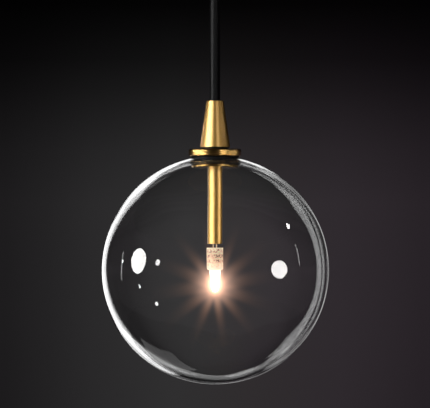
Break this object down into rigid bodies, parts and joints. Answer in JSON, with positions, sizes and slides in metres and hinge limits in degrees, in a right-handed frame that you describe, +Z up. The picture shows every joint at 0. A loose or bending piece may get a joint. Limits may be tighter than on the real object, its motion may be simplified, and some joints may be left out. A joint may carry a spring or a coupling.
{
  "type": "pendant ceiling light",
  "caption": "Pendant light: clear glass globe on a brass stem, disc and cone, hung by a black flex from a round brass ceiling canopy with its driver.",
  "frame": {"origin": "centre of the ceiling plate's upper face, which lies against the ceiling", "axes": "+Z up, into the ceiling, along the flex and the stem; X along the line of the two ceiling slots; -Y is the front"},
  "size_m": [0.15, 0.15, 0.293],
  "materials": {
    "steel": "zinc-plated",
    "black_rubber": "matt",
    "white_plastic": "satin moulded",
    "clear_plastic": "translucent",
    "circuit_board": "lacquered",
    "satin_brass": "brushed satin lacquer",
    "earth_sleeve": "smooth",
    "lead_sleeve": "smooth",
    "black_plastic": "satin",
    "flex": "satin sheath",
    "ceramic": "unglazed",
    "contact_metal": "nickel",
    "clear_glass": "clear, blown, fire polished",
    "lamp_glass": "clear",
    "lamp_glow": "warm glow"
  },
  "bodies": {
    "ceiling_mount": {"ceiling_plate": "steel", "supply_grommet": "black_rubber", "canopy_studs": "steel", "stud_nuts": "steel", "driver_case": "white_plastic", "driver_lid": "white_plastic", "driver_board": "circuit_board", "driver_input_terminal": "white_plastic", "driver_output_terminal": "white_plastic", "driver_screws": "steel", "terminal_block": "clear_plastic", "terminal_screws": "steel", "earth_screw": "satin_brass", "earth_lead": "earth_sleeve", "mains_leads": "lead_sleeve", "output_leads": "lead_sleeve"},
    "canopy": {"canopy": "satin_brass", "cap_nuts": "satin_brass", "canopy_grip": "satin_brass", "grip_star_washer": "steel", "grip_lock_nut": "steel", "grip_collet": "black_plastic", "grip_gland_nut": "black_plastic", "cord_tail": "flex"},
    "flex_neck": {"cord_neck": "flex"},
    "flex": {"cord": "flex"},
    "head": {"cord_end": "flex", "cone_collet": "black_plastic", "clamp_washer": "black_rubber", "upper_disc": "satin_brass", "expanding_collar": "black_rubber", "lower_disc": "satin_brass", "stem_tube": "satin_brass", "stem_leads": "lead_sleeve", "lamp_holder": "ceramic", "holder_contacts": "contact_metal", "holder_screw": "steel"},
    "bush": {"cone_bush": "black_plastic"},
    "cone": {"cone": "satin_brass"},
    "globe": {"glass_globe": "clear_glass"},
    "lamp": {"lamp_pins": "contact_metal", "lamp_base": "lamp_glass", "lamp_board": "circuit_board", "lamp_bulb": "lamp_glow", "lamp_emitter": "lamp_glow"}
  },
  "joints": [
    {"name": "canopy_drop", "type": "slide", "parent": "ceiling_mount", "child": "canopy", "axis": [0, 0, -1], "range_m": [0, 0.03], "deforming": ["output_leads"]},
    {"name": "flex_twist", "type": "hinge", "parent": "canopy", "child": "flex_neck", "pos_m": [0, 0, -0.034], "axis": [0, 0, 1], "range_deg": [-180, 180], "stiffness_Nm_per_rad": 0.004},
    {"name": "flex_swing", "type": "hinge", "parent": "flex_neck", "child": "flex", "pos_m": [0, 0, -0.034], "axis": [0, 1, 0], "range_deg": [-30, 30]},
    {"name": "head_tilt", "type": "hinge", "parent": "flex", "child": "head", "pos_m": [0, 0, -0.108], "axis": [1, 0, 0], "range_deg": [-10, 10]},
    {"name": "bush_rise", "type": "slide", "parent": "head", "child": "bush", "axis": [0, 0, 1], "range_m": [0, 0.002]},
    {"name": "cone_turn", "type": "hinge", "parent": "bush", "child": "cone", "pos_m": [0, 0, -0.1377], "axis": [0, 0, 1], "range_deg": [0, 720]},
    {"name": "globe_drop", "type": "slide", "parent": "head", "child": "globe", "axis": [0, 0, -1], "range_m": [0, 0.095]},
    {"name": "lamp_pull", "type": "slide", "parent": "head", "child": "lamp", "axis": [0, 0, -1], "range_m": [0, 0.012]}
  ],
  "couplings": [
    {"joint": "cone_turn", "follows": "bush_rise", "rad_per_m": 6283.2}
  ]
}
